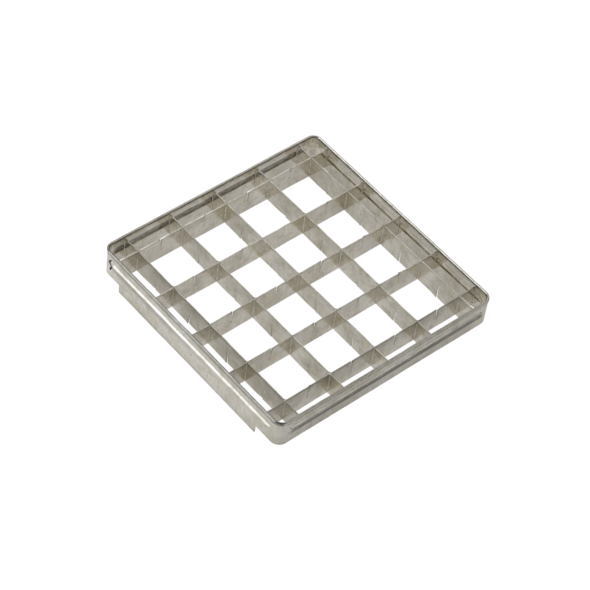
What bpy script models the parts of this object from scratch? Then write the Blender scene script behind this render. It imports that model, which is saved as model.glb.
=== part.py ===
"""Square flower frog: a hemmed sheet-metal band with a soldered lattice of slotted strips inside.

Metres, +Z up. The origin is under the middle of the band, on the plane that the two foot tabs
stand on. Run it with: blender --background --python part.py
"""

import math

import bmesh
import bpy
from mathutils import Matrix, Vector

# ---- Driving sizes, in metres ------------------------------------------------------------

# The band: one strip of sheet bent into a square ring.
BAND_SIDE = 0.120             # outside, flat face to flat face
BAND_HEIGHT = 0.0147          # rim top to the lower edge, away from the tabs
CORNER_RADIUS = 0.0045        # outer face
SHEET = 0.0005                # band sheet thickness

# The rolled rim along the top of the band.
RIM_WIDTH = 0.0013
RIM_HEIGHT = 0.0020
RIM_PROUD = 0.0003            # how far the roll stands out past the outer face

# The bead pressed outwards along each side of the band.
BEAD_DROP = 0.0072            # rim top to the bead's middle
BEAD_WIDTH = 0.0039
BEAD_PROUD = 0.0011
BEAD_END_MARGIN = 0.0005      # from a corner's bend to the bead's tip
BEAD_TAPER = 0.0022           # length over which the tip fades out

# The foot tabs, left on the lower edge of the two sides that face along X.
TAB_WIDTH = 0.0934
TAB_SHIFT = 0.0012            # of both tabs' middles, towards the back
TAB_DROP = 0.0044             # below the band's lower edge

# The butt seam where the band's two ends meet, open over part of its height.
SEAM_FROM_BEND = 0.0010       # from the corner's bend to the seam
SEAM_GAP = 0.00030
SEAM_TOP_DROP = 0.0036        # rim top to the upper end of the open part
SEAM_OPEN = 0.0072            # height of the open part
SEAM_ZIGZAG = 0.0007          # how far the torn edges wander from side to side

# The lattice: two crossing sets of strips, half-lapped like an egg crate.
STRIP_COUNT = 5               # in each direction
STRIP_THICKNESS = 0.0005
STRIP_HEIGHT = 0.0123
BORDER_LEFT = 0.0111          # band's inner face at -X to the middle of the first strip
BORDER_RIGHT = 0.0095         # the same at +X
BORDER_FRONT = 0.0100         # the same at -Y
BORDER_BACK = 0.0091          # the same at +Y
SPARE_SLIT_WIDTH = 0.0004     # the unused slits halfway between the crossings
SPARE_SLIT_DEPTH = 0.0068

# The solder.
SOLDER_LEG = 0.0010           # fillet size along each face
SOLDER_END_SHORT = 0.0010     # the fillet stops this far from the strip's top and bottom edges
SEAM_SOLDER_WIDTH = 0.0040
SEAM_SOLDER_THICKNESS = 0.0006

# Clearances.
RIM_TO_STRIP = 0.0003         # under the roll, above the strips' top edges
STRIP_END_GAP = 0.0003        # strip end to the band's inner face
SLOT_CLEARANCE = 0.0001       # each side of a strip in its slot, and between the slots' floors
SOLDER_GAP = 0.0001           # solder to the faces that it joins

# Faceting.
CORNER_STEPS = 7
BEAD_STEPS = 8
TAPER_STEPS = 4
RIM_STEPS = 16
FILLET_STEPS = 4
SEAM_STEPS = 4
CUT_MARGIN = 0.005            # how far a cutter runs past what it cuts
WELD_DISTANCE = 1e-7
SHARP_ANGLE = math.radians(35)

# Materials: base colour and roughness of the worn silver plate and of the solder.
BAND_METAL = ("plated_band", (0.50, 0.47, 0.40), 0.30)
STRIP_METAL = ("plated_strip", (0.55, 0.52, 0.44), 0.32)
SOLDER_METAL = ("solder", (0.60, 0.57, 0.50), 0.42)

# ---- Sizes that follow -------------------------------------------------------------------

HALF_SIDE = BAND_SIDE / 2
STRAIGHT_HALF = HALF_SIDE - CORNER_RADIUS
INNER_HALF = HALF_SIDE - SHEET
RIM_TOP = BAND_HEIGHT + TAB_DROP
RIM_MIDDLE = RIM_TOP - RIM_HEIGHT / 2
BEAD_MIDDLE = RIM_TOP - BEAD_DROP
BEAD_TIP = STRAIGHT_HALF - BEAD_END_MARGIN
STRIP_TOP = RIM_TOP - RIM_HEIGHT - RIM_TO_STRIP
STRIP_BOTTOM = STRIP_TOP - STRIP_HEIGHT
STRIP_MIDDLE = (STRIP_TOP + STRIP_BOTTOM) / 2
SLOT_WIDTH = STRIP_THICKNESS + 2 * SLOT_CLEARANCE
SLOT_DEPTH = STRIP_HEIGHT / 2 + SLOT_CLEARANCE / 2
SEAM_Y = STRAIGHT_HALF - SEAM_FROM_BEND


def even_places(first, last):
    """The strips' places along one axis, from the first strip to the last."""
    return [first + (last - first) * i / (STRIP_COUNT - 1) for i in range(STRIP_COUNT)]


ALONG_X = even_places(BORDER_LEFT - INNER_HALF, INNER_HALF - BORDER_RIGHT)
ACROSS_Y = even_places(BORDER_FRONT - INNER_HALF, INNER_HALF - BORDER_BACK)


# ---- Scene helpers -----------------------------------------------------------------------

def clear_scene():
    for obj in list(bpy.data.objects):
        bpy.data.objects.remove(obj, do_unlink=True)


def new_collection(name):
    collection = bpy.data.collections.new(name)
    bpy.context.scene.collection.children.link(collection)
    return collection


def new_material(name, colour, roughness):
    material = bpy.data.materials.new(name)
    material.use_nodes = True
    shader = material.node_tree.nodes["Principled BSDF"]
    shader.inputs["Base Color"].default_value = (*colour, 1.0)
    shader.inputs["Metallic"].default_value = 1.0
    shader.inputs["Roughness"].default_value = roughness
    return material


def add_object(name, mesh, collection, material=None):
    obj = bpy.data.objects.new(name, mesh)
    collection.objects.link(obj)
    if material and not mesh.materials:
        mesh.materials.append(material)
    return obj


def mesh_from_curve(curve_object):
    """The curve's evaluated mesh with its caps welded on. The curve object is removed."""
    graph = bpy.context.evaluated_depsgraph_get()
    mesh = bpy.data.meshes.new_from_object(curve_object.evaluated_get(graph))
    mesh.transform(curve_object.matrix_world)
    shape = bmesh.new()
    shape.from_mesh(mesh)
    bmesh.ops.remove_doubles(shape, verts=shape.verts, dist=WELD_DISTANCE)
    bmesh.ops.recalc_face_normals(shape, faces=shape.faces)
    shape.to_mesh(mesh)
    shape.free()
    bpy.data.objects.remove(curve_object, do_unlink=True)
    return mesh


def flat_curve(name, outline, extrude=0.0):
    """A closed 2D curve through the outline, filled on both sides when it is extruded."""
    curve = bpy.data.curves.new(name, "CURVE")
    curve.dimensions = "2D"
    curve.fill_mode = "BOTH" if extrude else "NONE"
    curve.extrude = extrude
    spline = curve.splines.new("POLY")
    spline.points.add(len(outline) - 1)
    for point, (x, y) in zip(spline.points, outline):
        point.co = (x, y, 0.0, 1.0)
    spline.use_cyclic_u = True
    obj = bpy.data.objects.new(name, curve)
    bpy.context.scene.collection.objects.link(obj)
    bpy.context.view_layer.update()
    return obj


def plate_mesh(name, outline, thickness):
    """A flat plate: the outline in X and Y, and the thickness centred on Z = 0."""
    mesh = mesh_from_curve(flat_curve(name, outline, thickness / 2))
    mesh.name = name
    return mesh


def shade_round(mesh):
    """Smooth shading over the bends, with the real edges kept sharp."""
    mesh.shade_smooth()
    mesh.set_sharp_from_angle(angle=SHARP_ANGLE)
    return mesh


def add_cutter(name, mesh, collection, rest=None):
    cutter = add_object(name, mesh, collection)
    cutter.hide_render = True
    cutter.display_type = "WIRE"
    if rest:
        cutter.matrix_world = rest
    return cutter


def boolean(obj, other, operation):
    modifier = obj.modifiers.new(other.name, "BOOLEAN")
    modifier.operation = operation
    modifier.solver = "EXACT"
    modifier.object = other


def box_mesh(name, low, high):
    shape = bmesh.new()
    bmesh.ops.create_cube(shape, size=1.0)
    size = [b - a for a, b in zip(low, high)]
    middle = [(a + b) / 2 for a, b in zip(low, high)]
    bmesh.ops.transform(
        shape,
        matrix=Matrix.Translation(middle) @ Matrix.Diagonal((*size, 1.0)),
        verts=shape.verts,
    )
    mesh = bpy.data.meshes.new(name)
    shape.to_mesh(mesh)
    shape.free()
    return mesh


# ---- The band ----------------------------------------------------------------------------

def side_stations():
    """Places along one straight side where the band's surface needs a column of points."""
    tips = [BEAD_TIP - BEAD_TAPER * i / TAPER_STEPS for i in range(TAPER_STEPS + 1)]
    stations = tips + [STRAIGHT_HALF]
    return sorted(stations + [-t for t in stations])


def band_path():
    """(point, outward direction, distance from the side's middle or None) once round the band.

    It starts on the +X side and runs anticlockwise seen from above.
    """
    path = []
    for turn in range(4):
        spin = Matrix.Rotation(math.radians(90 * turn), 2)
        for along in side_stations():
            path.append((spin @ Vector((HALF_SIDE, along)), spin @ Vector((1.0, 0.0)), along))
        for step in range(1, CORNER_STEPS):
            angle = math.radians(90 * step / CORNER_STEPS)
            out = Vector((math.cos(angle), math.sin(angle)))
            centre = Vector((STRAIGHT_HALF, STRAIGHT_HALF))
            path.append((spin @ (centre + CORNER_RADIUS * out), spin @ out, None))
    return path


def bead_height(along, z):
    """How far the bead presses the sheet outwards at this place."""
    if along is None:
        return 0.0
    across = abs(z - BEAD_MIDDLE) / (BEAD_WIDTH / 2)
    fade = min(1.0, max(0.0, (BEAD_TIP - abs(along)) / BEAD_TAPER))
    if across >= 1.0 or fade <= 0.0:
        return 0.0
    return BEAD_PROUD * math.sqrt(fade * (2 - fade)) * (1 + math.cos(math.pi * across)) / 2


def band_levels():
    """Heights of the rows of points up the sheet, from the tabs' lower edge into the rim."""
    bead_bottom = BEAD_MIDDLE - BEAD_WIDTH / 2
    bead = [bead_bottom + BEAD_WIDTH * i / BEAD_STEPS for i in range(BEAD_STEPS + 1)]
    return [0.0, *bead, RIM_MIDDLE]


def band_sheet_mesh():
    """The sheet's outer face as an open ring, which Solidify thickens inwards."""
    shape = bmesh.new()
    path = band_path()
    rows = []
    for z in band_levels():
        row = []
        for point, out, along in path:
            place = point + out * bead_height(along, z)
            row.append(shape.verts.new((place.x, place.y, z)))
        rows.append(row)
    for lower, upper in zip(rows, rows[1:]):
        for i in range(len(path)):
            k = (i + 1) % len(path)
            shape.faces.new((lower[i], lower[k], upper[k], upper[i]))
    mesh = bpy.data.meshes.new("frame_band")
    shape.to_mesh(mesh)
    shape.free()
    return shade_round(mesh)


def rim_mesh():
    """The rolled rim: an ellipse swept round the band."""
    inset = RIM_WIDTH / 2 - RIM_PROUD
    outline = [tuple(point - out * inset) for point, out, along in band_path()]
    ring = flat_curve("rim_path", outline)
    ellipse = []
    for step in range(RIM_STEPS):
        angle = 2 * math.pi * step / RIM_STEPS
        ellipse.append((math.cos(angle) * RIM_WIDTH / 2, math.sin(angle) * RIM_HEIGHT / 2))
    section = flat_curve("rim_section", ellipse)
    ring.data.bevel_mode = "OBJECT"
    ring.data.bevel_object = section
    ring.location.z = RIM_MIDDLE
    bpy.context.view_layer.update()
    mesh = mesh_from_curve(ring)
    bpy.data.objects.remove(section, do_unlink=True)
    return shade_round(mesh)


def seam_outline():
    """The seam's torn opening, in a plane of Y along the band and Z up."""
    left, right = [], []
    for i in range(SEAM_STEPS + 1):
        z = RIM_TOP - SEAM_TOP_DROP - SEAM_OPEN * i / SEAM_STEPS
        y = SEAM_Y + (SEAM_ZIGZAG if i % 2 else -SEAM_ZIGZAG) / 2
        left.append((y - SEAM_GAP / 2, z))
        right.append((y + SEAM_GAP / 2, z))
    return left + right[::-1]


def add_band(parts, cutters, material):
    band = add_object("frame_band", band_sheet_mesh(), parts, material)
    solid = band.modifiers.new("sheet", "SOLIDIFY")
    solid.thickness = SHEET
    solid.offset = -1.0
    solid.use_even_offset = True
    boolean(band, add_cutter("rim_roll", rim_mesh(), cutters), "UNION")
    reach = HALF_SIDE + CUT_MARGIN
    for name, sign in (("below_edge_front", -1), ("below_edge_back", 1)):
        near, far = sorted((TAB_SHIFT + sign * TAB_WIDTH / 2, sign * reach))
        low = (-reach, near, -CUT_MARGIN)
        high = (reach, far, TAB_DROP)
        boolean(band, add_cutter(name, box_mesh(name, low, high), cutters), "DIFFERENCE")
    seam = plate_mesh("seam_opening", seam_outline(), 2 * CUT_MARGIN)
    # The plate's X and Y become the band's Y and Z on its -X side.
    turn = Matrix(((0, 0, 1), (1, 0, 0), (0, 1, 0))).to_4x4()
    rest = Matrix.Translation((-HALF_SIDE, 0, 0)) @ turn
    boolean(band, add_cutter("seam_opening", seam, cutters, rest), "DIFFERENCE")
    return band


# ---- The lattice -------------------------------------------------------------------------

def slot_list(crossings):
    """(middle, width, depth) of every slot along a strip, crossing slots and spare slits."""
    slots = [(at, SLOT_WIDTH, SLOT_DEPTH) for at in crossings]
    for at, following in zip(crossings, crossings[1:]):
        slots.append(((at + following) / 2, SPARE_SLIT_WIDTH, SPARE_SLIT_DEPTH))
    return sorted(slots)


def comb_outline(start, end, slots):
    """A strip's outline with its slots open at the top edge, centred on its middle height."""
    half = STRIP_HEIGHT / 2
    outline = [(start, -half), (end, -half), (end, half)]
    for at, width, depth in reversed(slots):
        outline.append((at + width / 2, half))
        outline.append((at + width / 2, half - depth))
        outline.append((at - width / 2, half - depth))
        outline.append((at - width / 2, half))
    outline.append((start, half))
    return outline


def add_strips(parts, material):
    """Strips across run along X with slots from the top, and strips along run along Y with
    slots from the bottom."""
    reach = INNER_HALF - STRIP_END_GAP
    across_outline = comb_outline(-reach, reach, slot_list(ALONG_X))
    along_outline = [(x, -y) for x, y in comb_outline(-reach, reach, slot_list(ACROSS_Y))]
    across = plate_mesh("strip_across", across_outline, STRIP_THICKNESS)
    along = plate_mesh("strip_along", along_outline, STRIP_THICKNESS)
    upright = Matrix.Rotation(math.radians(90), 4, "X")
    quarter = Matrix.Rotation(math.radians(90), 4, "Z")
    for number, y in enumerate(ACROSS_Y, start=1):
        strip = add_object(f"strip_across_{number}", across, parts, material)
        strip.matrix_world = Matrix.Translation((0, y, STRIP_MIDDLE)) @ upright
    for number, x in enumerate(ALONG_X, start=1):
        strip = add_object(f"strip_along_{number}", along, parts, material)
        strip.matrix_world = Matrix.Translation((x, 0, STRIP_MIDDLE)) @ quarter @ upright


# ---- The solder --------------------------------------------------------------------------

def fillet_outline():
    """A corner fillet with a hollow face, its corner at the origin and its legs towards -X, -Y."""
    hollow = []
    for step in range(FILLET_STEPS + 1):
        angle = math.radians(90 * step / FILLET_STEPS)
        x = SOLDER_LEG * (math.sin(angle) - 1)
        y = SOLDER_LEG * (math.cos(angle) - 1)
        hollow.append((x, y))
    return [(0.0, 0.0), *hollow]


def add_solder(parts, material):
    """One upright fillet in the -X, -Y corner of each crossing, and one at each strip end."""
    height = STRIP_HEIGHT - 2 * SOLDER_END_SHORT
    fillet = plate_mesh("solder_fillet", fillet_outline(), height)
    strip_face = STRIP_THICKNESS / 2 + SOLDER_GAP
    band_face = INNER_HALF - SOLDER_GAP
    turned = Matrix.Rotation(math.radians(90), 4, "Z")

    def place(name, x, y, turn=Matrix.Identity(4)):
        tack = add_object(name, fillet, parts, material)
        tack.matrix_world = Matrix.Translation((x, y, STRIP_MIDDLE)) @ turn

    for i, x in enumerate(ALONG_X, start=1):
        for k, y in enumerate(ACROSS_Y, start=1):
            place(f"solder_crossing_{i}_{k}", x - strip_face, y - strip_face)
        place(f"solder_along_{i}_back", x - strip_face, band_face)
        place(f"solder_along_{i}_front", x - strip_face, -band_face, turned.inverted())
    for k, y in enumerate(ACROSS_Y, start=1):
        place(f"solder_across_{k}_right", band_face, y - strip_face)
        place(f"solder_across_{k}_left", -band_face, y - strip_face, turned)


def add_seam_solder(parts, material):
    """The flat run of solder that holds the seam together from inside."""
    inner = -(INNER_HALF - SOLDER_GAP)
    low = (inner, SEAM_Y - SEAM_SOLDER_WIDTH / 2, RIM_TOP - SEAM_TOP_DROP - SEAM_OPEN)
    high = (inner + SEAM_SOLDER_THICKNESS, SEAM_Y + SEAM_FROM_BEND, RIM_TOP - SEAM_TOP_DROP)
    add_object("seam_solder", box_mesh("seam_solder", low, high), parts, material)


def main():
    clear_scene()
    parts = new_collection("flower_frog")
    cutters = new_collection("cutters")
    solder_metal = new_material(*SOLDER_METAL)
    add_band(parts, cutters, new_material(*BAND_METAL))
    add_strips(parts, new_material(*STRIP_METAL))
    add_solder(parts, solder_metal)
    add_seam_solder(parts, solder_metal)


main()
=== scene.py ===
"""Looks of the square flower frog: worn silver plate, a dented rolled rim and soldered strips.

Metres, +Z up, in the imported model's own frame. X runs along the side at the camera's right.
"""

import math
import random

import bmesh
import bpy
from mathutils import Matrix, Vector, noise


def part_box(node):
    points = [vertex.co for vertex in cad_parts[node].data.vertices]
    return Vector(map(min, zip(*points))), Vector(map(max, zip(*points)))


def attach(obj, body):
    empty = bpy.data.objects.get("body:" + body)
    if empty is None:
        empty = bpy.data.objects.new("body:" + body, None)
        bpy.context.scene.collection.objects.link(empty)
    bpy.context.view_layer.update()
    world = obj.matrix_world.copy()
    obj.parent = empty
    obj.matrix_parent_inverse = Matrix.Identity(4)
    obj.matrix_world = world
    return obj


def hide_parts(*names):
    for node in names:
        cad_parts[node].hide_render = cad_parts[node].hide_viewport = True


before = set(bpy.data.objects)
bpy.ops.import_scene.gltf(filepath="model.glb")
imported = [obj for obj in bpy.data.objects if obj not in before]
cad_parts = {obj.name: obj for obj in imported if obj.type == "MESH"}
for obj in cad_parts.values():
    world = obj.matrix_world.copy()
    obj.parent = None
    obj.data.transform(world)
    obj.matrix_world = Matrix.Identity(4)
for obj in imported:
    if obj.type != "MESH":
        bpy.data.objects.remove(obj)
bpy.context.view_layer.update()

# ---- Sizes, in metres --------------------------------------------------------------------

# The band's section, as in the design.
HALF_SIDE = 0.060             # middle to the band's flat outer face
SHEET = 0.0005
CORNER_RADIUS = 0.0045
RIM_WIDTH = 0.0013
RIM_HEIGHT = 0.0020
RIM_PROUD = 0.0003
BEAD_DROP = 0.0072
BEAD_WIDTH = 0.0039
BEAD_PROUD = 0.0011
INNER_BEAD = 0.45             # the groove inside, as a part of the bead outside
BEAD_END_MARGIN = 0.0005
BEAD_TAPER = 0.0022
TAB_WIDTH = 0.0934
TAB_SHIFT = 0.0012            # of both tabs' middles, towards the back
TAB_DROP = 0.0044
BACK_SAG = 0.0008             # how much lower the band's edge hangs round the back corner
BACK_SAG_REACH = 0.020        # X plus Y where the sag is full. It starts where they sum to 0

# The seam near the left corner.
SEAM_CLEAR = 0.0018           # the bead stops this much sooner beside the seam
SEAM_FROM_BEND = 0.0010
SEAM_GAP = 0.0010
SEAM_TOP_DROP = 0.0036
SEAM_OPEN = 0.0072
SEAM_ZIGZAG = 0.0016
SEAM_SWINGS = (1, -0.4, -1, 0.1, 0.9, 0.2, -0.3)      # in half zigzags, from the top down
SEAM_WIDTHS = (0.3, 1.2, 1.5, 1.1, 0.7, 1.3, 0.6)     # in gaps, from the top down

# The strips' slots.
SLOT_WIDTH = 0.0007
SPARE_SLIT_WIDTH = 0.0004
SPARE_SLIT_DEPTH = 0.0068

# Places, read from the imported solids.
RIM_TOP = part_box("frame_band")[1].z
STRAIGHT_HALF = HALF_SIDE - CORNER_RADIUS
INNER_HALF = HALF_SIDE - SHEET
RIM_MIDDLE = RIM_TOP - RIM_HEIGHT / 2
ROLL_FOOT = RIM_TOP - RIM_HEIGHT
BEAD_MIDDLE = RIM_TOP - BEAD_DROP
BEAD_ROUND = ((BEAD_WIDTH / 2) ** 2 + BEAD_PROUD ** 2) / (2 * BEAD_PROUD)
BEAD_TIP = STRAIGHT_HALF - BEAD_END_MARGIN
SEAM_Y = STRAIGHT_HALF - SEAM_FROM_BEND
STRIP_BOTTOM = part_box("strip_across_1")[0].z
STRIP_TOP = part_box("strip_across_1")[1].z
STRIP_HEIGHT = STRIP_TOP - STRIP_BOTTOM
STRIP_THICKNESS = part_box("strip_across_1")[1].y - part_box("strip_across_1")[0].y
STRIP_COUNT = 5
NUMBERS = range(1, STRIP_COUNT + 1)
MIDDLE_STRIP = STRIP_COUNT // 2


def middle(node):
    low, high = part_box(node)
    return (low + high) / 2


ACROSS_Y = [middle(f"strip_across_{number}").y for number in NUMBERS]
ALONG_X = [middle(f"strip_along_{number}").x for number in NUMBERS]


# ---- Camera ------------------------------------------------------------------------------

CAMERA_AZIMUTH = math.radians(-46.443)
CAMERA_ELEVATION = math.radians(49.328)
CAMERA_ROLL = math.radians(8.668)
CAMERA_DISTANCE = 1.04287
CAMERA_ACROSS = 0.00171       # the lattice's middle, right of the view's middle
CAMERA_UP = 0.00918           # and above it
LENS = 147.22                 # millimetres, on a 36 mm sensor


def add_camera():
    """The camera looks past the middle of the lattice's top, turned a little about its own axis."""
    flat = math.cos(CAMERA_ELEVATION)
    back = Vector((
        math.sin(CAMERA_AZIMUTH) * flat,
        -math.cos(CAMERA_AZIMUTH) * flat,
        math.sin(CAMERA_ELEVATION),
    ))
    level = Vector((0, 0, 1)).cross(back).normalized()
    upright = back.cross(level)
    right = math.cos(CAMERA_ROLL) * level + math.sin(CAMERA_ROLL) * upright
    up = math.cos(CAMERA_ROLL) * upright - math.sin(CAMERA_ROLL) * level
    aim = Vector((ALONG_X[MIDDLE_STRIP], ACROSS_Y[MIDDLE_STRIP], STRIP_TOP))
    place = aim - CAMERA_ACROSS * right - CAMERA_UP * up + CAMERA_DISTANCE * back
    camera = bpy.data.objects.new("camera", bpy.data.cameras.new("camera"))
    camera.data.lens = LENS
    camera.data.clip_end = 10.0
    turn = Matrix((right, up, back)).transposed().to_4x4()
    camera.matrix_world = Matrix.Translation(place) @ turn
    bpy.context.scene.collection.objects.link(camera)
    bpy.context.scene.camera = camera


# ---- Node helpers ------------------------------------------------------------------------

def new_material(name):
    material = bpy.data.materials.new(name)
    material.use_nodes = True
    material.node_tree.nodes.clear()
    return material


def put(tree, kind, values=None, **settings):
    """Adds a node. Each value is a constant or another node's socket."""
    node = tree.nodes.new("ShaderNode" + kind)
    for key, value in settings.items():
        setattr(node, key, value)
    for key, value in (values or {}).items():
        if isinstance(value, bpy.types.NodeSocket):
            tree.links.new(value, node.inputs[key])
        else:
            node.inputs[key].default_value = value
    return node


def maths(tree, operation, first, second=0.0, clamp=False):
    node = put(tree, "Math", {0: first, 1: second}, operation=operation, use_clamp=clamp)
    return node.outputs[0]


def ramp(tree, value, low, high, out_low=0.0, out_high=1.0):
    """The value taken smoothly from one range to another."""
    node = put(
        tree, "MapRange",
        {"Value": value, "From Min": low, "From Max": high, "To Min": out_low, "To Max": out_high},
        interpolation_type="SMOOTHSTEP",
    )
    return node.outputs["Result"]


def mix(tree, factor, first, second):
    node = put(tree, "Mix", data_type="RGBA")
    for index, value in ((0, factor), (6, first), (7, second)):
        if isinstance(value, bpy.types.NodeSocket):
            tree.links.new(value, node.inputs[index])
        else:
            node.inputs[index].default_value = value
    return node.outputs[2]


def grain(tree, coordinates, scale, detail=4.0, roughness=0.6, stretch=(1, 1, 1), turn=(0, 0, 0)):
    """Solid noise, with features about 1/scale metres across, stretched along an axis."""
    mapped = put(tree, "Mapping", {"Vector": coordinates, "Scale": stretch, "Rotation": turn})
    node = put(
        tree, "TexNoise",
        {"Vector": mapped.outputs[0], "Scale": scale, "Detail": detail, "Roughness": roughness},
    )
    return node.outputs["Fac"]


# ---- Materials ---------------------------------------------------------------------------

SILVER = (0.88, 0.845, 0.77, 1)
KHAKI = (0.66, 0.615, 0.51, 1)
YELLOW = (0.80, 0.71, 0.52, 1)
PINK = (0.80, 0.72, 0.65, 1)
# dark end of the painted shade, painted reflection and tarnish
DARK_SHADE_AND_TARNISH = (0.20, 0.19, 0.165, 1)
STAIN = (0.46, 0.42, 0.31, 1)
CREAM = (0.97, 0.94, 0.85, 1)
BROWN = (0.20, 0.13, 0.08, 1)
# dark end of the painted shade and dirt
SOOT_AND_SHADE = (0.05, 0.045, 0.035, 1)


def plated_metal(name, rough_low, rough_high, spots, stains):
    """Worn silver plate: broad tone, yellow and pink tints, wiped streaks, stains and brown spots.

    The mesh's own attributes darken the colour: one with dirt and painted shade in creases and hollows,
    the other with painted shade and painted reflection on the darker sides, along the bead and up the
    strips.
    """
    material = new_material(name)
    tree = material.node_tree
    place = put(tree, "TexCoord").outputs["Object"]
    broad = grain(tree, place, 60.0, 3.0)
    mottle = grain(tree, place, 420.0, 6.0, 0.65)
    streaks = grain(tree, place, 1100.0, 3.0, 0.5, stretch=(1, 1, 0.10))
    wiped = grain(tree, place, 700.0, 4.0, 0.6, stretch=(0.25, 0.25, 1.0), turn=(0.5, 0.4, 0.8))
    specks = grain(tree, place, 1300.0, 2.0, 0.5)
    fine = grain(tree, place, 5200.0, 3.0, 0.6)

    tone = maths(tree, "MULTIPLY", broad, 0.45)
    for part, share in ((mottle, 0.25), (streaks, 0.15), (wiped, 0.15)):
        tone = maths(tree, "ADD", tone, maths(tree, "MULTIPLY", part, share))
    colour = mix(tree, ramp(tree, tone, 0.38, 0.62), KHAKI, SILVER)
    tint = grain(tree, place, 130.0, 4.0, 0.6, turn=(1.1, 0.3, 0.2))
    colour = mix(tree, ramp(tree, tint, 0.52, 0.75, 0.0, 0.55), colour, YELLOW)
    colour = mix(tree, ramp(tree, tint, 0.45, 0.25, 0.0, 0.45), colour, PINK)

    spot = ramp(tree, specks, 0.70 - spots, 0.78 - spots)
    spot = maths(tree, "MULTIPLY", spot, ramp(tree, broad, 0.40, 0.60))
    colour = mix(tree, maths(tree, "MULTIPLY", spot, 0.7), colour, BROWN)
    stain = grain(tree, place, 210.0, 5.0, 0.62, turn=(0.3, 0.9, 0.4))
    colour = mix(tree, ramp(tree, stain, 0.50, 0.66, 0.0, stains), colour, STAIN)
    colour = mix(tree, ramp(tree, stain, 0.46, 0.32, 0.0, stains), colour, CREAM)
    scratch = grain(tree, place, 900.0, 2.0, 0.5, stretch=(0.12, 0.12, 1.6), turn=(0.9, 0.7, 0.5))
    colour = mix(tree, ramp(tree, scratch, 0.66, 0.72, 0.0, 0.5), colour, CREAM)

    # Painted shade and painted reflection, read from a mesh attribute: darker sides, bead and strip
    # tops.
    shade_and_tarnish = put(tree, "Attribute", attribute_name="shade_and_tarnish").outputs["Fac"]
    shade_and_tarnish = maths(tree, "MULTIPLY", shade_and_tarnish, ramp(tree, mottle, 0.30, 0.65, 0.75, 1.1), clamp=True)
    colour = mix(tree, shade_and_tarnish, colour, DARK_SHADE_AND_TARNISH)
    # Painted shade in creases and hollows, with dirt, read from a mesh attribute.
    dirt_and_shade = put(tree, "Attribute", attribute_name="grime_and_shade").outputs["Fac"]
    dirt_and_shade = maths(tree, "MULTIPLY", dirt_and_shade, ramp(tree, mottle, 0.30, 0.62, 0.2, 1.0))
    dirt_and_shade = maths(tree, "MULTIPLY", dirt_and_shade, 0.9, clamp=True)
    colour = mix(tree, dirt_and_shade, colour, SOOT_AND_SHADE)

    rough = ramp(tree, mottle, 0.30, 0.70, rough_low, rough_high)
    rough = maths(tree, "ADD", rough, maths(tree, "MULTIPLY", dirt_and_shade, 0.30), clamp=True)
    height = maths(tree, "ADD", mottle, maths(tree, "MULTIPLY", fine, 0.25))
    height = maths(tree, "ADD", height, maths(tree, "MULTIPLY", wiped, 0.35))
    bump = put(tree, "Bump", {"Height": height, "Strength": 0.25, "Distance": 0.00006})
    shader = put(
        tree, "BsdfPrincipled",
        {"Base Color": colour, "Metallic": 1.0, "Roughness": rough, "Normal": bump.outputs[0]},
    )
    put(tree, "OutputMaterial", {"Surface": shader.outputs[0]})
    return material


def solder_metal(name, dark, light):
    """Dull solder with rubbed places."""
    material = new_material(name)
    tree = material.node_tree
    place = put(tree, "TexCoord").outputs["Object"]
    lumps = grain(tree, place, 900.0, 5.0)
    fine = grain(tree, place, 4200.0, 3.0)
    colour = mix(tree, ramp(tree, lumps, 0.35, 0.65), dark, light)
    rough = ramp(tree, lumps, 0.30, 0.70, 0.28, 0.50)
    height = maths(tree, "ADD", lumps, maths(tree, "MULTIPLY", fine, 0.3))
    bump = put(tree, "Bump", {"Height": height, "Strength": 0.5, "Distance": 0.0001})
    shader = put(
        tree, "BsdfPrincipled",
        {"Base Color": colour, "Metallic": 1.0, "Roughness": rough, "Normal": bump.outputs[0]},
    )
    put(tree, "OutputMaterial", {"Surface": shader.outputs[0]})
    return material


# ---- Mesh helpers ------------------------------------------------------------------------

SHARP_ANGLE = math.radians(38)


def wander(point, size, seed=0.0):
    """Smooth noise from about -1 to 1, with features of this size."""
    return noise.noise(Vector(point) / size + Vector((seed, 1.7 * seed, -seed)))


def smooth_step(value):
    value = min(1.0, max(0.0, value))
    return value * value * (3 - 2 * value)


def add_piece(name, shape, material, replaced):
    """Makes the bmesh an object that stands for these CAD nodes."""
    mesh = bpy.data.meshes.new(name)
    bmesh.ops.recalc_face_normals(shape, faces=shape.faces)
    shape.to_mesh(mesh)
    shape.free()
    mesh.shade_smooth()
    mesh.set_sharp_from_angle(angle=SHARP_ANGLE)
    mesh.materials.append(material)
    piece = bpy.data.objects.new(name, mesh)
    bpy.context.scene.collection.objects.link(piece)
    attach(piece, "root")
    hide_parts(*replaced)
    return piece


# ---- The band ----------------------------------------------------------------------------

STATION = 0.0010              # spacing of the sections along a side
CORNER_STEPS = 14
TAB_EDGE = 0.00006            # width of the step at a tab's end
LOW_STEPS = 6
BEAD_STEPS = 18
BEAD_MARGIN = 0.0002          # the bead's rows run this far past it
BEAD_WAVER = 0.00018          # how far its line strays up and down
HIGH_STEPS = 4
ROLL_STEPS = 18
ROLL_START = math.radians(-57)
ROLL_END = math.radians(250)


def side_places():
    """Distances from a side's middle where the band gets a section."""
    count = round(2 * STRAIGHT_HALF / STATION)
    places = [-STRAIGHT_HALF + 2 * STRAIGHT_HALF * i / count for i in range(count + 1)]
    tab_end = TAB_WIDTH / 2
    for end in (tab_end - TAB_SHIFT, tab_end + TAB_SHIFT):
        for sign in (-1, 1):
            places = [p for p in places if abs(p - sign * end) > STATION / 4]
            places += [sign * end - TAB_EDGE / 2, sign * end + TAB_EDGE / 2]
    return sorted(places)


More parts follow.
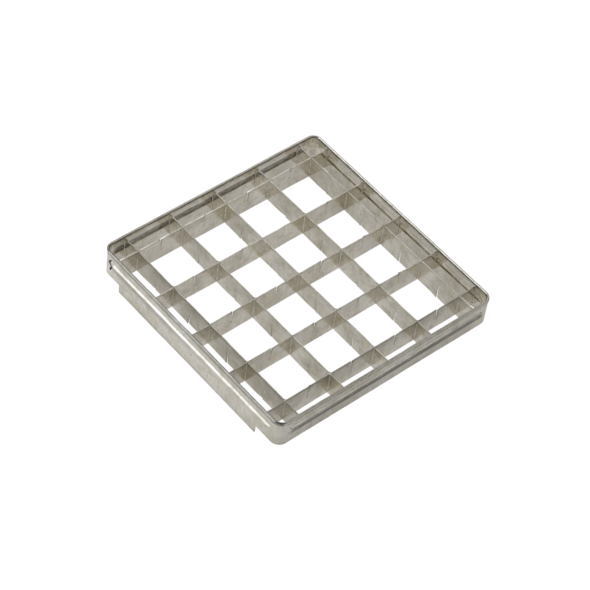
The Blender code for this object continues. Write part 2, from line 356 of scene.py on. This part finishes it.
def band_sections():
    """(point, outward direction, turn, distance from the side's middle or None) round the band."""
    sections = []
    for turn in range(4):
        spin = Matrix.Rotation(math.radians(90 * turn), 2)
        for along in side_places():
            sections.append((spin @ Vector((HALF_SIDE, along)), spin @ Vector((1, 0)), turn, along))
        for step in range(1, CORNER_STEPS):
            angle = math.radians(90 * step / CORNER_STEPS)
            out = Vector((math.cos(angle), math.sin(angle)))
            centre = Vector((STRAIGHT_HALF, STRAIGHT_HALF))
            sections.append((spin @ (centre + CORNER_RADIUS * out), spin @ out, turn, None))
    return sections


def bead_height(point, along, z):
    """How far the bead stands out here. Its line and its size wander a little along the side."""
    if along is None:
        return 0.0
    line = BEAD_MIDDLE + BEAD_WAVER * wander(point, 0.017, 3.0)
    across = abs(z - line) / (BEAD_WIDTH / 2)
    room = BEAD_TIP - abs(along)
    if abs(point.x + HALF_SIDE) < SHEET and point.y > 0:
        room -= SEAM_CLEAR
    fade = min(1.0, max(0.0, room / BEAD_TAPER))
    if across >= 1.0 or fade <= 0.0:
        return 0.0
    size = BEAD_PROUD * (0.92 + 0.08 * wander(point, 0.009, 5.0))
    sagitta = (BEAD_ROUND - math.sqrt(BEAD_ROUND ** 2 - (across * BEAD_WIDTH / 2) ** 2)) / BEAD_PROUD
    return size * math.sqrt(fade * (2 - fade)) * max(0.0, 1.0 - sagitta)


def lower_edge(point, turn, along):
    """Height of the band's lower edge. The sides that face along X carry the tabs, and the edge
    hangs a little lower round the back corner."""
    on_tab = turn % 2 == 0 and along is not None and abs(point.y - TAB_SHIFT) < TAB_WIDTH / 2
    return 0.0 if on_tab else TAB_DROP - BACK_SAG * smooth_step((point.x + point.y) / BACK_SAG_REACH)


def spread(low, high, steps):
    return [low + (high - low) * i / steps for i in range(steps)]


def section_profile(point, turn, along):
    """The section's outline as (outward, height), from the outer lower edge over the roll."""
    bead_low = BEAD_MIDDLE - BEAD_WIDTH / 2 - BEAD_MARGIN
    bead_high = BEAD_MIDDLE + BEAD_WIDTH / 2 + BEAD_MARGIN
    roll_low = RIM_MIDDLE + math.sin(ROLL_START) * RIM_HEIGHT / 2
    heights = spread(lower_edge(point, turn, along), bead_low, LOW_STEPS)
    heights += spread(bead_low, bead_high, BEAD_STEPS)
    heights += spread(bead_high, roll_low, HIGH_STEPS)
    bulges = [bead_height(point, along, z) for z in heights]
    outline = list(zip(bulges, heights))
    for step in range(ROLL_STEPS + 1):
        angle = ROLL_START + (ROLL_END - ROLL_START) * step / ROLL_STEPS
        out = RIM_PROUD - RIM_WIDTH / 2 + math.cos(angle) * RIM_WIDTH / 2
        outline.append((out, RIM_MIDDLE + math.sin(angle) * RIM_HEIGHT / 2))
    for bulge, z in zip(reversed(bulges), reversed(heights)):
        outline.append((INNER_BEAD * bulge - SHEET, z))
    return outline


# (depth, size, seed) of each layer of dents.
SHEET_WAVES = ((0.00010, 0.030, 1.0), (0.00004, 0.009, 2.0), (0.00004, 0.0030, 4.0))
ROLL_DENTS = ((0.00009, 0.0038, 7.0), (0.00005, 0.0014, 6.0))
ROLL_DIPS = ((0.00007, 0.0050, 9.0),)
BEAD_DENTS = ((0.00010, 0.0060, 5.0), (0.00003, 0.0016, 8.0))
ROLL_SAG = 0.00004


def dents(place, layers):
    return sum(depth * wander(place, size, seed) for depth, size, seed in layers)


def dented(place, out, height):
    """Hand-made unevenness: slow waves in the whole sheet, and small dents in the roll and bead."""
    in_roll = smooth_step((height - ROLL_FOOT) / (RIM_HEIGHT / 2))
    in_bead = smooth_step(1.2 - abs(height - BEAD_MIDDLE) / (BEAD_WIDTH / 2))
    dent = in_roll * dents(place, ROLL_DENTS) + in_bead * dents(place, BEAD_DENTS)
    drop = in_roll * (dents(place, ROLL_DIPS) - ROLL_SAG)
    return place + out * (dents(place, SHEET_WAVES) + dent) + Vector((0, 0, drop))


UNDER_ROLL_REACH = 0.0004
BEHIND_ROLL = 0.0007          # the roll's back starts this far inside the band's outer face
LOW_SHADE_REACH = 0.0010
SEAM_SHADE_REACH = 0.004


def grime_and_shade_on_band(place, outward):
    """Painted shade, with some dirt in the crease under the roll: darker under and behind the roll,
    along the tabs' lower edges and inside near the seam.
    """
    inside = 1.0 if outward < -SHEET / 2 else 0.0
    under_roll = math.exp(-abs(place.z - ROLL_FOOT) / UNDER_ROLL_REACH)
    behind_roll = smooth_step((place.z - ROLL_FOOT) / 0.0003)
    behind_roll *= smooth_step((-outward - BEHIND_ROLL) / 0.0002)
    low = math.exp(-place.z / LOW_SHADE_REACH)
    near_seam = math.exp(-(place.xy - Vector((-HALF_SIDE, SEAM_Y))).length / SEAM_SHADE_REACH)
    # painted shade under and behind the roll, towards the lower edge and inside round the seam
    dirt_and_shade = 0.5 * under_roll * inside + 0.45 * low + 0.7 * near_seam * inside + 0.3 * under_roll
    return dirt_and_shade + 0.55 * behind_roll


SHADE_EDGE = 0.0004         # how softly the painted shade starts
SHADE_BELOW = 0.0005        # how far the painted shade spreads below the bead
LEFT_FADE_START = -0.030
LEFT_FADE = 0.060


def shade_and_tarnish_on_band(place, height, outward, out, along):
    """Painted shade and painted reflection, as a darker plate: the front and back are darker, the front
    most, and most of all along the bead.

    On the left the roll is painted darker, and the bead gets darker towards the back.
    """
    low = BEAD_MIDDLE - BEAD_WIDTH / 2 - SHADE_BELOW
    high = BEAD_MIDDLE + BEAD_WIDTH / 3
    in_bead = smooth_step((height - low) / SHADE_EDGE) * smooth_step((high - height) / SHADE_EDGE)
    in_bead *= 0.0 if along is None else smooth_step((BEAD_TIP - abs(along)) / BEAD_TAPER)
    in_roll = smooth_step((height - ROLL_FOOT) / SHADE_EDGE)
    outside = 1.0 if outward > -SHEET / 2 else 0.20
    front = 1.0 if out.y < 0 else 0.3
    # painted shade on the front and back sides, the front most, and painted reflection along the bead
    darkening = abs(out.y) * ((0.30 + 0.22 * in_roll) * front + 0.78 * in_bead) * outside
    # painted shade on the left roll, and painted reflection on the left bead, darker towards the back
    if out.x < -0.5:
        towards_back = smooth_step((place.y - LEFT_FADE_START) / LEFT_FADE)
        darkening += 0.60 * in_roll + in_bead * outside * 0.45 * towards_back
    return darkening


def add_band(material):
    shape = bmesh.new()
    grime_and_shade = shape.verts.layers.float.new("grime_and_shade")
    shade_and_tarnish = shape.verts.layers.float.new("shade_and_tarnish")
    rings = []
    for point, out, turn, along in band_sections():
        ring = []
        flat_out = Vector((out.x, out.y, 0))
        for outward, height in section_profile(Vector((point.x, point.y, 0)), turn, along):
            place = Vector((point.x, point.y, height)) + flat_out * outward
            vert = shape.verts.new(dented(place, flat_out, height))
            vert[grime_and_shade] = grime_and_shade_on_band(place, outward)
            vert[shade_and_tarnish] = shade_and_tarnish_on_band(place, height, outward, out, along)
            ring.append(vert)
        rings.append(ring)
    for i, ring in enumerate(rings):
        following = rings[(i + 1) % len(rings)]
        for j in range(len(ring)):
            k = (j + 1) % len(ring)
            shape.faces.new((ring[j], ring[k], following[k], following[j]))
    band = add_piece("band", shape, material, ["frame_band"])
    cut_seam(band)


CUT_REACH = 0.003             # of the seam's cutter, to each side of the band's outer face


def cut_seam(band):
    """Cuts the torn opening of the butt seam through the band's wall."""
    left, right = [], []
    steps = len(SEAM_SWINGS) - 1
    for i in range(steps + 1):
        z = RIM_TOP - SEAM_TOP_DROP - SEAM_OPEN * i / steps
        swing = SEAM_ZIGZAG / 2 * SEAM_SWINGS[i]
        half = SEAM_GAP / 2 * SEAM_WIDTHS[i]
        left.append((SEAM_Y - swing - half, z))
        right.append((SEAM_Y - swing + half, z))
    outline = left + right[::-1]
    shape = bmesh.new()
    near = [shape.verts.new((-HALF_SIDE - CUT_REACH, y, z)) for y, z in outline]
    far = [shape.verts.new((-HALF_SIDE + CUT_REACH, y, z)) for y, z in outline]
    for i in range(len(outline)):
        k = (i + 1) % len(outline)
        shape.faces.new((near[i], near[k], far[k], far[i]))
    for a in range(steps):
        b = len(outline) - 1 - a
        for verts in (near, far):
            shape.faces.new((verts[a], verts[a + 1], verts[b - 1], verts[b]))
    bmesh.ops.recalc_face_normals(shape, faces=shape.faces)
    mesh = bpy.data.meshes.new("seam_cutter")
    shape.to_mesh(mesh)
    shape.free()
    cutter = bpy.data.objects.new("seam_cutter", mesh)
    bpy.context.scene.collection.objects.link(cutter)
    modifier = band.modifiers.new("seam", "BOOLEAN")
    modifier.operation = "DIFFERENCE"
    modifier.solver = "EXACT"
    modifier.object = cutter
    graph = bpy.context.evaluated_depsgraph_get()
    cut = bpy.data.meshes.new_from_object(band.evaluated_get(graph))
    band.modifiers.clear()
    band.data = cut
    bpy.data.objects.remove(cutter, do_unlink=True)


# ---- The strips --------------------------------------------------------------------------

CELL = 0.0009                 # size of a strip's mesh cells
LIP = 0.0005                  # how far the edges of a spare slit are pushed out of line
LIP_REACH = 0.0016
SLANT_REACH = 0.0030
SLIT_STRAY = 0.0004           # how far a spare slit is from halfway at most
WAVE = 0.00022                # sideways, in the loose stretches between two crossings
WAVE_SIZE = 0.016
HELD = 0.008                  # a crossing holds the strip straight over this much
EDGE_ROUND = 0.00007


def between(low, high, step, exact):
    """Evenly spaced values from low to high, with these exact ones put in."""
    count = max(1, round((high - low) / step))
    values = [low + (high - low) * i / count for i in range(count + 1)]
    values = [v for v in values if all(abs(v - e) > step / 3 for e in exact)]
    return sorted(values + list(exact))


def spare_slits(crossings, dice):
    """(middle, width, depth, lip, slant) of the slit about halfway between each two crossings."""
    slits = []
    for first, second in zip(crossings, crossings[1:]):
        at = (first + second) / 2 + dice.uniform(-SLIT_STRAY, SLIT_STRAY)
        width = SPARE_SLIT_WIDTH * dice.uniform(0.6, 1.2)
        depth = SPARE_SLIT_DEPTH * dice.uniform(0.85, 1.05)
        lip = dice.choice((-1, 1)) * dice.uniform(0.3, 1.0)
        slits.append((at, width, depth, lip, dice.uniform(-0.16, 0.16)))
    return slits


def bent(along, height, crossings, slits, open_top, seed):
    """(shift along, shift sideways) of a strip's sheet here."""
    nearest = min(abs(along - c) for c in crossings)
    sideways = smooth_step(nearest / HELD) * WAVE * wander((along, height, 0), WAVE_SIZE, seed)
    shift = 0.0
    for at, _, depth, lip, slant in slits:
        past_floor = height - (STRIP_TOP - depth) if open_top else (STRIP_BOTTOM + depth) - height
        opened = max(0.0, past_floor / depth)
        side = 1.0 if along > at else -0.35
        sideways += side * lip * LIP * math.exp(-abs(along - at) / LIP_REACH) * opened ** 1.5
        shift += slant * opened * depth * math.exp(-abs(along - at) / SLANT_REACH)
    return shift, sideways


def grime_and_shade_on_strip(along, height, crossings, slits, open_top):
    """Darker at the crossings, as dirt and painted shade in their inner corners, painted shade at the
    mouths of the spare slits, and darker along the top edge.
    """
    nearest = min(abs(along - c) for c in crossings)
    slit = min(abs(along - s[0]) for s in slits)
    edge = STRIP_TOP - height if open_top else height - STRIP_BOTTOM
    at_crossing = math.exp(-nearest / 0.0010)
    at_slit = math.exp(-slit / 0.0005) * math.exp(-edge / 0.004)
    at_top = math.exp(-(STRIP_TOP - height) / 0.0006)
    return 0.20 * at_crossing + 0.5 * at_slit + 0.25 * at_top


def in_opening(along, height, openings, open_top):
    """Whether this place is inside a slot or a slit."""
    for at, width, depth in openings:
        deep = height > STRIP_TOP - depth if open_top else height < STRIP_BOTTOM + depth
        if abs(along - at) < width / 2 and deep:
            return True
    return False


def add_strip(name, node, crossings, open_top, shade_amount, place_at, material, seed):
    """One slotted strip as a bent sheet. place_at turns (along, sideways, height) into a point."""
    low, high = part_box(node)
    along_axis = 0 if high.x - low.x > high.y - low.y else 1
    start, end = low[along_axis], high[along_axis]
    slits = spare_slits(crossings, random.Random(seed))
    openings = [(at, SLOT_WIDTH, STRIP_HEIGHT / 2) for at in crossings]
    openings += [slit[:3] for slit in slits]
    edges = {start, end}
    floors = {STRIP_BOTTOM, STRIP_TOP}
    for at, width, depth in openings:
        edges |= {at - width / 2, at + width / 2}
        floors.add(STRIP_TOP - depth if open_top else STRIP_BOTTOM + depth)
    columns = between(start, end, CELL, sorted(edges))
    rows = between(STRIP_BOTTOM, STRIP_TOP, CELL, sorted(floors))
    shape = bmesh.new()
    grime_and_shade = shape.verts.layers.float.new("grime_and_shade")
    shade_and_tarnish = shape.verts.layers.float.new("shade_and_tarnish")
    grid = {}

    def corner(i, j):
        if (i, j) not in grid:
            along, height = columns[i], rows[j]
            shift, sideways = bent(along, height, crossings, slits, open_top, seed)
            vert = shape.verts.new(place_at(along + shift, sideways, height))
            vert[grime_and_shade] = grime_and_shade_on_strip(along, height, crossings, slits, open_top)
            risen = (height - STRIP_BOTTOM) / STRIP_HEIGHT
            # painted shade and painted reflection, darker towards the strip's top
            vert[shade_and_tarnish] = smooth_step(risen * 1.1 - 0.1) * shade_amount
            grid[(i, j)] = vert
        return grid[(i, j)]

    for i in range(len(columns) - 1):
        along = (columns[i] + columns[i + 1]) / 2
        for j in range(len(rows) - 1):
            height = (rows[j] + rows[j + 1]) / 2
            if not in_opening(along, height, openings, open_top):
                shape.faces.new((corner(i, j), corner(i + 1, j), corner(i + 1, j + 1), corner(i, j + 1)))
    strip = add_piece(name, shape, material, [node])
    solid = strip.modifiers.new("sheet", "SOLIDIFY")
    solid.thickness = STRIP_THICKNESS
    solid.offset = 0.0
    bevel = strip.modifiers.new("edge", "BEVEL")
    bevel.width = EDGE_ROUND
    bevel.segments = 2
    bevel.limit_method = "ANGLE"
    bevel.angle_limit = math.radians(50)


def add_strips(material):
    """The strips are painted darker towards the front and the left, as painted shade and painted
    reflection of the band's walls, which die out towards the back and the right.
    """
    for number in NUMBERS:
        y = ACROSS_Y[number - 1]
        shade_amount = 0.02 + 0.42 * math.exp(1.2 * (1 - number))
        add_strip(
            f"lattice_across_{number}", f"strip_across_{number}", ALONG_X, True, shade_amount,
            lambda along, side, height, y=y: (along, y + side, height), material, 10 + number,
        )
        x = ALONG_X[number - 1]
        shade_amount = 0.24 * math.exp(1.3 * (1 - number))
        add_strip(
            f"lattice_along_{number}", f"strip_along_{number}", ACROSS_Y, False, shade_amount,
            lambda along, side, height, x=x: (x + side, along, height), material, 20 + number,
        )


# ---- The solder --------------------------------------------------------------------------

TACK_LEG = 0.00042            # size of the solder's fillet along each face
TACK_BITE = 0.0002            # how far it runs into the sheet behind it
TACK_BELOW = 0.0006           # how far it runs past the design's solder, down and up
TACK_ABOVE = 0.0009
FAR_TACK = 0.6                # the solder's size at the strips' far ends, as a part of the rest's
TACK_ROWS = 16
TACK_ARC = 6
BLOB_RADIUS = 0.00055
BLOB_SHIFT = 0.0003           # from the inner corner towards the middle of the crossing


def add_tack(name, node, corner, turn, material, seed, cap):
    """A run of solder down an inner corner, fat in places, with a blob over the crossing's top."""
    dice = random.Random(seed)
    low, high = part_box(node)
    bottom, top = low.z - TACK_BELOW, high.z + TACK_ABOVE
    spin = Matrix.Rotation(turn, 3, "Z")
    at_far_end = node.endswith(("_back", "_right"))
    size = TACK_LEG * (FAR_TACK if at_far_end else 1.0) * dice.uniform(0.6, 1.1)
    shape = bmesh.new()
    rows = []
    for row in range(TACK_ROWS + 1):
        t = row / TACK_ROWS
        z = bottom + (top - bottom) * t
        ends = math.sin(math.pi * min(1.0, max(0.0, 0.04 + 0.92 * t))) ** 0.35
        leg = size * ends * (1 + 0.45 * wander((seed, z, 0), 0.0022, 0.3))
        bow = 0.0001 * wander((seed, z, 4), 0.004)
        points = [(TACK_BITE, TACK_BITE), (-leg, TACK_BITE)]
        for step in range(TACK_ARC + 1):
            angle = math.radians(90 * step / TACK_ARC)
            points.append((leg * (math.sin(angle) - 1) + bow, leg * (math.cos(angle) - 1) + bow))
        points.append((TACK_BITE, -leg))
        rows.append([shape.verts.new(corner + spin @ Vector((x, y, z))) for x, y in points])
    for lower, upper in zip(rows, rows[1:]):
        for i in range(len(lower)):
            k = (i + 1) % len(lower)
            shape.faces.new((lower[i], lower[k], upper[k], upper[i]))
    shape.faces.new(rows[0][::-1])
    shape.faces.new(rows[-1])
    if cap:
        over = Vector((corner.x, corner.y, STRIP_TOP)) + spin @ Vector((BLOB_SHIFT, BLOB_SHIFT, 0))
        add_blob(shape, over, dice)
    add_piece(name, shape, material, [node])


def add_blob(shape, centre, dice):
    """A flattened drop of solder."""
    stretch = (dice.uniform(0.9, 1.7), dice.uniform(0.9, 1.7), dice.uniform(0.5, 0.8))
    matrix = Matrix.Translation(centre) @ Matrix.Diagonal((*stretch, 1))
    matrix = matrix @ Matrix.Rotation(dice.uniform(0, 3), 4, "Z")
    made = bmesh.ops.create_uvsphere(
        shape, u_segments=14, v_segments=9, radius=BLOB_RADIUS, matrix=matrix,
    )
    for vert in made["verts"]:
        vert.co += (vert.co - centre) * 0.25 * wander(vert.co, 0.0007, 2.0)


def add_solder(material):
    face = STRIP_THICKNESS / 2
    quarter = math.radians(90)
    seed = 100
    for i, x in zip(NUMBERS, ALONG_X):
        for k, y in zip(NUMBERS, ACROSS_Y):
            seed += 1
            corner = Vector((x - face, y - face, 0))
            name = f"crossing_{i}_{k}"
            add_tack("tack_" + name, "solder_" + name, corner, 0, material, seed, seed % 3 != 1)
        for word, y, turn in (("back", INNER_HALF, 0), ("front", -INNER_HALF, -quarter)):
            seed += 1
            name = f"along_{i}_{word}"
            corner = Vector((x - face, y, 0))
            add_tack("tack_" + name, "solder_" + name, corner, turn, material, seed, False)
    for k, y in zip(NUMBERS, ACROSS_Y):
        for word, x, turn in (("right", INNER_HALF, 0), ("left", -INNER_HALF, quarter)):
            seed += 1
            name = f"across_{k}_{word}"
            corner = Vector((x, y - face, 0))
            add_tack("tack_" + name, "solder_" + name, corner, turn, material, seed, False)


PATCH_COLUMNS = 14
PATCH_ROWS = 22
PATCH_BITE = 0.0001           # how far its rim is sunk into the wall


def add_seam_patch(material):
    """The smeared run of solder behind the seam, which gets a near-black material as painted shade seen
    through the seam's opening.
    """
    low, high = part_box("seam_solder")
    across, up = PATCH_COLUMNS, PATCH_ROWS
    shape = bmesh.new()
    grid = []
    for j in range(up + 1):
        row = []
        for i in range(across + 1):
            y = low.y + (high.y - low.y) * i / across
            z = low.z + (high.z - low.z) * j / up
            edge = min(i, across - i) / across * 4
            end = min(j, up - j) / up * 6
            swell = smooth_step(min(edge, end)) * (0.65 + 0.35 * wander((0, y, z), 0.0013, 5.0))
            ragged = 0.0003 * wander((1, y, z), 0.0015, 8.0)
            x = -INNER_HALF - PATCH_BITE + (high.x - low.x) * swell
            row.append(shape.verts.new((x, y + ragged, z + ragged)))
        grid.append(row)
    for lower, upper in zip(grid, grid[1:]):
        for i in range(across):
            shape.faces.new((lower[i], lower[i + 1], upper[i + 1], upper[i]))
    piece = add_piece("seam_patch", shape, material, ["seam_solder"])
    solid = piece.modifiers.new("depth", "SOLIDIFY")
    solid.thickness = SHEET / 4
    solid.offset = -1.0


# ---- Stage and light ---------------------------------------------------------------------

FLOOR_SIZE = 1.6
SWEEP_DROP = 0.002            # the white sweep's depth under the feet


def add_plane(name, level, values):
    shape = bmesh.new()
    bmesh.ops.create_grid(shape, x_segments=1, y_segments=1, size=FLOOR_SIZE / 2)
    mesh = bpy.data.meshes.new(name)
    shape.to_mesh(mesh)
    shape.free()
    material = new_material(name)
    shader = put(material.node_tree, "BsdfPrincipled", values)
    put(material.node_tree, "OutputMaterial", {"Surface": shader.outputs[0]})
    mesh.materials.append(material)
    plane = bpy.data.objects.new(name, mesh)
    plane.location.z = level
    bpy.context.scene.collection.objects.link(plane)
    return plane


def add_floor():
    """Grey paper that the metal reflects, and an evenly lit white sweep that shows behind it."""
    paper = add_plane("floor_paper", 0, {
        "Base Color": (0.85, 0.85, 0.85, 1), "Roughness": 0.9, "Specular IOR Level": 0.0,
        "Emission Color": (1, 1, 1, 1), "Emission Strength": 0.30,
    })
    paper.visible_camera = False
    sweep = add_plane("white_sweep", -SWEEP_DROP, {
        "Base Color": (0, 0, 0, 1), "Roughness": 1.0, "Specular IOR Level": 0.0,
        "Emission Color": (1, 1, 1, 1), "Emission Strength": 1.02,
    })
    sweep.visible_diffuse = False
    sweep.visible_glossy = False
    sweep.visible_shadow = False


def add_softbox(name, direction, distance, width, height, radiance, tint=(1, 1, 1)):
    """A rectangular light facing the object's foot. It shows in reflections and not in the view."""
    light = bpy.data.lights.new(name, "AREA")
    light.shape = "RECTANGLE"
    light.size, light.size_y = width, height
    light.energy = radiance * math.pi * width * height
    light.color = tint
    lamp = bpy.data.objects.new(name, light)
    lamp.location = Vector(direction).normalized() * distance
    lamp.rotation_euler = (-lamp.location).to_track_quat("-Z", "Y").to_euler()
    lamp.visible_camera = False
    bpy.context.scene.collection.objects.link(lamp)


def add_light():
    world = bpy.data.worlds.new("room")
    world.use_nodes = True
    background = world.node_tree.nodes["Background"]
    background.inputs["Color"].default_value = (0.24, 0.24, 0.245, 1)
    background.inputs["Strength"].default_value = 1.0
    bpy.context.scene.world = world
    add_softbox("left", (-0.88, 0.42, 0.20), 0.75, 0.80, 0.46, 1.15, (0.92, 0.97, 1.06))
    add_softbox("left_high", (-0.74, 0.40, 0.78), 0.95, 0.60, 0.42, 1.40, (0.92, 0.98, 1.08))
    add_softbox("back", (0.58, 0.56, 0.80), 1.0, 1.10, 0.70, 0.62)
    add_softbox("right", (0.50, -0.76, 0.52), 1.0, 1.00, 0.62, 0.46)


def main():
    add_camera()
    add_floor()
    add_light()
    band_metal = plated_metal("band_look", 0.08, 0.22, 0.07, 0.35)
    strip_metal = plated_metal("strip_look", 0.12, 0.27, 0.03, 0.40)
    solder_look = solder_metal("solder_look", (0.62, 0.59, 0.52, 1), (0.88, 0.86, 0.80, 1))
    # Near-black solder behind the seam: painted shade, so that the seam's opening reads black.
    shade_black_solder = solder_metal("shade_black_solder", (0.02, 0.018, 0.015, 1), (0.10, 0.09, 0.07, 1))
    add_band(band_metal)
    add_strips(strip_metal)
    add_solder(solder_look)
    add_seam_patch(shade_black_solder)
    bpy.context.scene.view_settings.view_transform = "Standard"


main()
